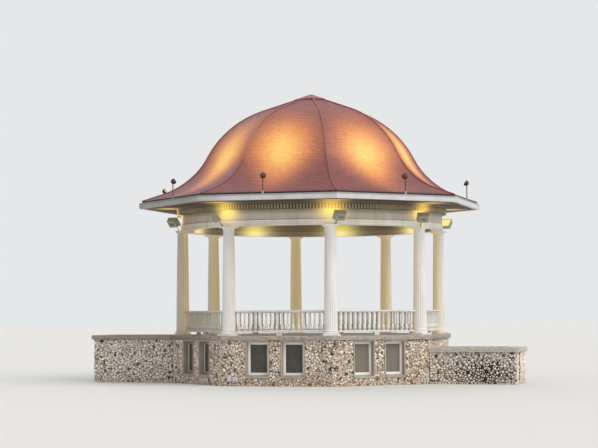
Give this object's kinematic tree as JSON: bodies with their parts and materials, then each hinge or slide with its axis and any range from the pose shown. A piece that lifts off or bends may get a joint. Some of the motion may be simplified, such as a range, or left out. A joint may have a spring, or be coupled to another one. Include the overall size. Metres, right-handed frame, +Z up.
{
  "type": "octagonal park bandstand",
  "caption": "Octagonal park bandstand: rubble podium with basement windows, fluted columns, balustrades, a round entablature and a bell-shaped dome roof, with a low planter on each side.",
  "frame": {"origin": "on the ground at the octagon's axis, at the middle of the ground floor's underside", "axes": "+Z up; the octagon's faces look along +X, +Y and their diagonals; the planters run out along +X and -X; -Y is the front"},
  "size_m": [15.1402, 11.3378, 10.183],
  "materials": {
    "rubble": "irregular rubble in sunk mortar",
    "coping_stone": "weathered cast stone",
    "deck_concrete": "trowelled concrete",
    "white_paint": "cream white paint on turned and cast work",
    "soffit_boards": "stained boards",
    "gutter_white": "white enamel",
    "roof_copper": "weathered copper-brown shingles",
    "window_paint": "white paint",
    "window_screen": "dark woven screen",
    "lamp_grey": "grey powder coat",
    "lamp_brown": "dark brown paint"
  },
  "bodies": {
    "root": {"podium_wall_1": "rubble", "column_1": "white_paint", "balustrade_1": "white_paint", "podium_wall_2": "rubble", "column_2": "white_paint", "balustrade_2": "white_paint", "podium_wall_3": "rubble", "column_3": "white_paint", "balustrade_3": "white_paint", "podium_wall_4": "rubble", "column_4": "white_paint", "balustrade_4": "white_paint", "podium_wall_5": "rubble", "column_5": "white_paint", "balustrade_5": "white_paint", "podium_wall_6": "rubble", "column_6": "white_paint", "balustrade_6": "white_paint", "podium_wall_7": "rubble", "column_7": "white_paint", "balustrade_7": "white_paint", "podium_wall_8": "rubble", "column_8": "white_paint", "balustrade_8": "white_paint", "ground_floor": "deck_concrete", "podium_coping": "coping_stone", "deck_floor": "deck_concrete", "window_frames": "window_paint", "window_screens": "window_screen", "window_sills": "coping_stone", "architrave": "white_paint", "frieze": "white_paint", "dentil_cornice": "white_paint", "ceiling": "soffit_boards", "soffit": "soffit_boards", "gutter": "gutter_white", "dome_roof": "roof_copper", "apex_cap": "roof_copper", "roof_spotlights": "lamp_brown", "column_floodlights": "lamp_grey", "outlet_boxes": "lamp_grey", "right_wing_walls": "rubble", "right_wing_coping": "coping_stone", "left_wing_walls": "rubble", "left_wing_coping": "coping_stone"}
  },
  "joints": []
}
